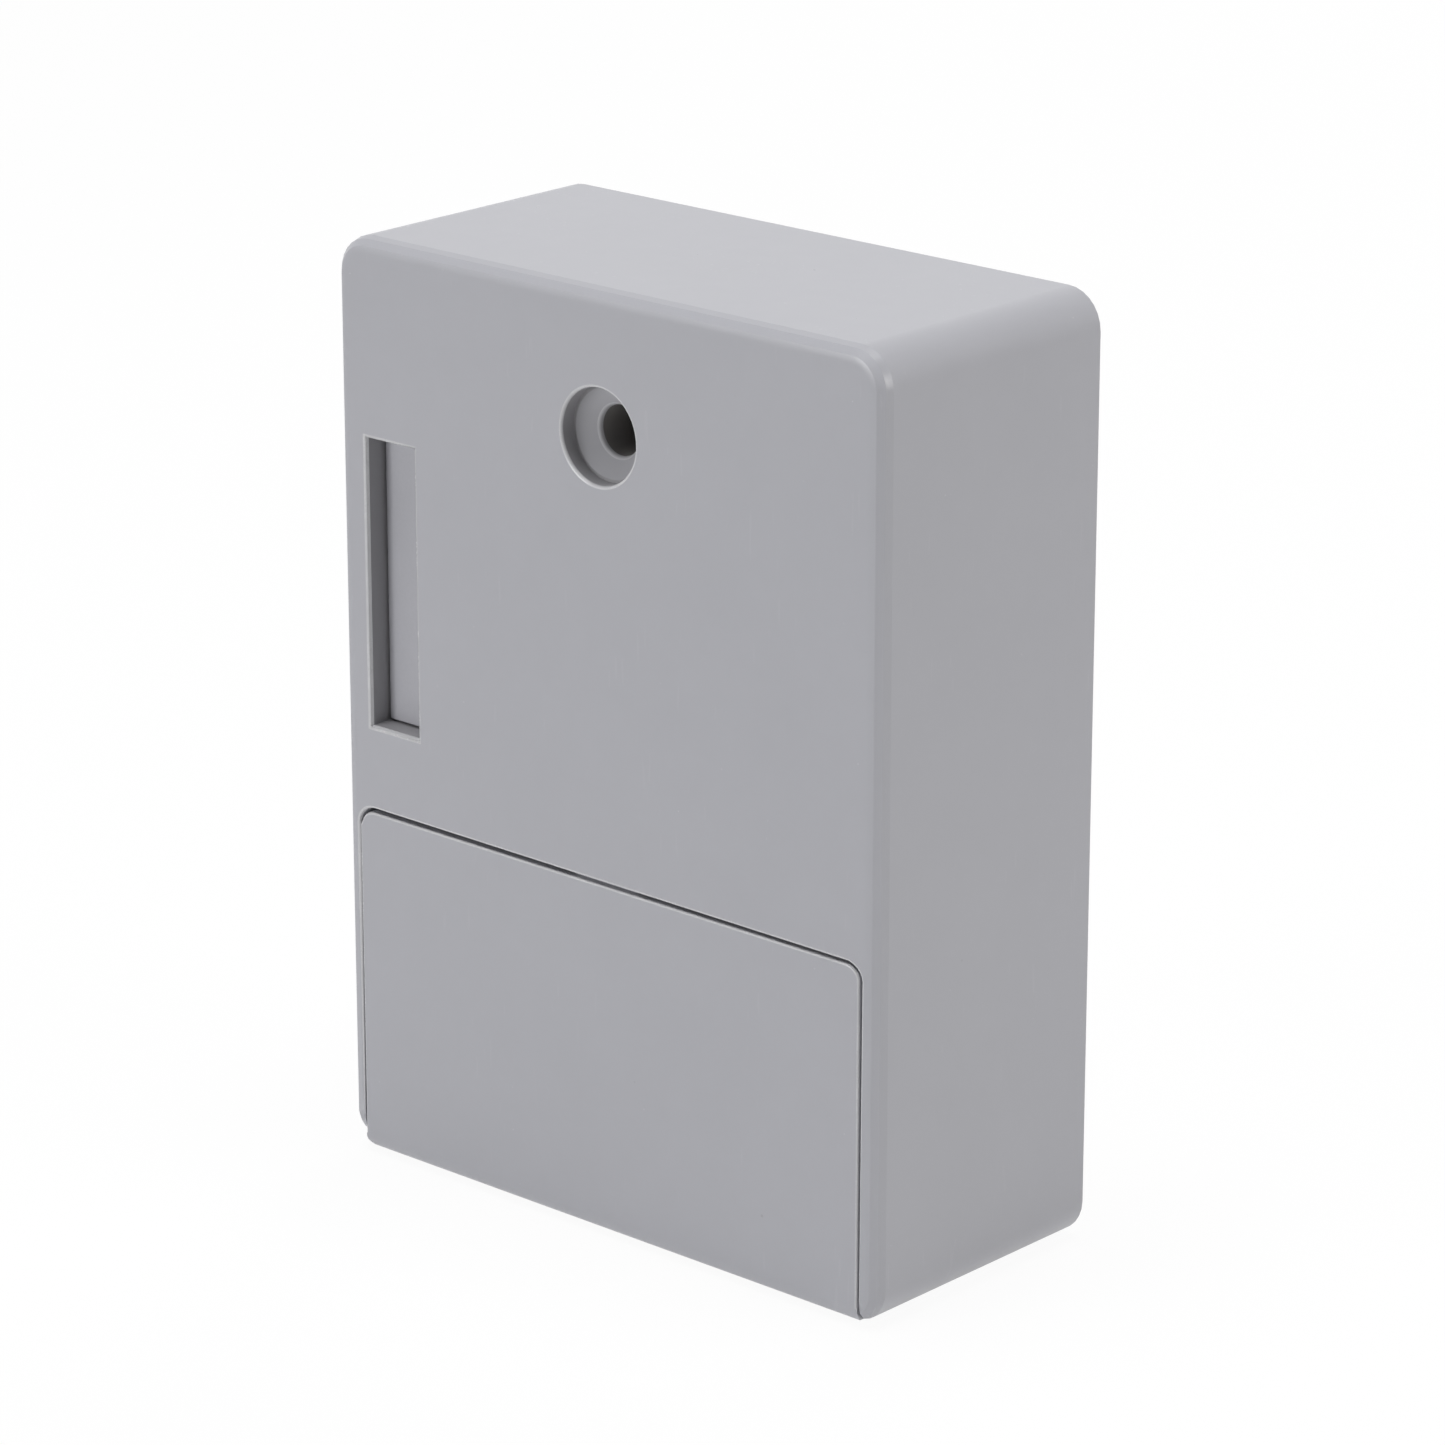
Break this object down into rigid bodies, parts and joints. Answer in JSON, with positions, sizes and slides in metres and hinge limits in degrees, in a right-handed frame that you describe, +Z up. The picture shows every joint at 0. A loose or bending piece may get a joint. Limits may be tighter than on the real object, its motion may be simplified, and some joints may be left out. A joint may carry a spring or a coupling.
{
  "type": "electronic cabinet lock",
  "caption": "Hidden electronic cabinet lock: upright moulded case with a hook slot and sprung ejector, a motor-driven bolt behind it, a sunk screw hole and a hinged battery door.",
  "frame": {"origin": "middle of the base, under the centre of the case", "axes": "+Z up, the front face with the hook slot towards -Y, the back cover towards +Y, +X to the right as seen from the front"},
  "size_m": [0.0866, 0.039, 0.1179],
  "materials": {
    "housing_grey": "satin moulded grey ABS",
    "ejector_grey": "matt moulded grey plastic",
    "steel": "bright zinc-plated steel",
    "zinc": "cast zinc, tumbled",
    "brass": "machined brass",
    "acetal": "natural white acetal",
    "board_green": "green solder mask on glass-fibre laminate",
    "black_plastic": "black moulded plastic",
    "connector_white": "off-white moulded nylon",
    "copper": "enamelled copper winding",
    "cell_jacket": "plain dark cell jacket with no printing",
    "lead_red": "red insulated wire",
    "lead_black": "black insulated wire"
  },
  "bodies": {
    "lock_body": {"front_housing": "housing_grey", "back_cover": "housing_grey", "battery_cell_1": "cell_jacket", "battery_spring_1": "steel", "battery_cell_2": "cell_jacket", "battery_spring_2": "steel", "battery_cell_3": "cell_jacket", "battery_spring_3": "steel", "battery_cell_4": "cell_jacket", "battery_spring_4": "steel", "contact_plate_left_lower": "steel", "contact_plate_left_upper": "steel", "contact_plate_right_bottom": "steel", "contact_plate_right_middle": "steel", "contact_plate_right_top": "steel", "ejector_spring_lower": "steel", "ejector_spring_upper": "steel", "channel_cap_screw_1": "steel", "channel_cap_screw_2": "steel", "gear_axle": "steel", "motor_can": "steel", "mechanism_screw_1": "steel", "mechanism_screw_2": "steel", "mechanism_screw_3": "steel", "board_screw_1": "steel", "board_screw_2": "steel", "back_cover_screw_1": "steel", "back_cover_screw_2": "steel", "back_cover_screw_3": "steel", "back_cover_screw_4": "steel", "capacitor": "zinc", "channel_cap": "black_plastic", "motor_end_cap": "black_plastic", "mechanism_cover": "black_plastic", "controller_chip": "black_plastic", "buzzer": "black_plastic", "setup_switch": "black_plastic", "hook_switch": "black_plastic", "battery_connector": "connector_white", "motor_connector": "connector_white", "antenna_connector": "connector_white", "main_board": "board_green", "antenna_board": "board_green", "antenna_coil": "copper", "battery_lead_red": "lead_red", "motor_lead": "lead_red", "battery_lead_black": "lead_black", "antenna_lead": "lead_black", "hook_switch_lead": "lead_black"},
    "battery_flap": {"battery_door": "housing_grey"},
    "ejector": {"ejector_block": "ejector_grey"},
    "bolt": {"locking_bolt": "zinc"},
    "compound_gear": {"reduction_gear": "acetal"},
    "motor_rotor": {"motor_pinion": "brass", "motor_shaft": "steel"},
    "setup_key": {"setup_button": "black_plastic"},
    "switch_plunger": {"hook_switch_plunger": "connector_white"}
  },
  "joints": [
    {"name": "door_hinge", "type": "hinge", "parent": "lock_body", "child": "battery_flap", "pos_m": [0, -0.0172, 0.0025], "axis": [1, 0, 0], "range_deg": [0, 90]},
    {"name": "ejector_slide", "type": "slide", "parent": "lock_body", "child": "ejector", "axis": [0, 1, 0], "range_m": [0, 0.011], "stiffness_N_per_m": 200, "springref_m": -0.01, "deforming": ["ejector_spring_lower", "ejector_spring_upper"]},
    {"name": "bolt_slide", "type": "slide", "parent": "lock_body", "child": "bolt", "axis": [-1, 0, 0], "range_m": [0, 0.007]},
    {"name": "gear_spin", "type": "hinge", "parent": "lock_body", "child": "compound_gear", "pos_m": [-0.01, -0.0146, 0.08225], "axis": [0, 1, 0], "range_deg": [0, 101]},
    {"name": "pinion_spin", "type": "hinge", "parent": "lock_body", "child": "motor_rotor", "pos_m": [0.00067, -0.0146, 0.08613], "axis": [0, 1, 0], "range_deg": [-402, 0]},
    {"name": "setup_button_press", "type": "slide", "parent": "lock_body", "child": "setup_key", "axis": [0, 1, 0], "range_m": [0, 0.0005], "stiffness_N_per_m": 500, "springref_m": -0.0005},
    {"name": "hook_switch_press", "type": "slide", "parent": "lock_body", "child": "switch_plunger", "axis": [1, 0, 0], "range_m": [0, 0.00055]}
  ],
  "couplings": [
    {"joint": "gear_spin", "follows": "bolt_slide", "rad_per_m": 250},
    {"joint": "pinion_spin", "follows": "bolt_slide", "rad_per_m": -1000},
    {"joint": "hook_switch_press", "follows": "ejector_slide", "ratio": 0.05}
  ]
}
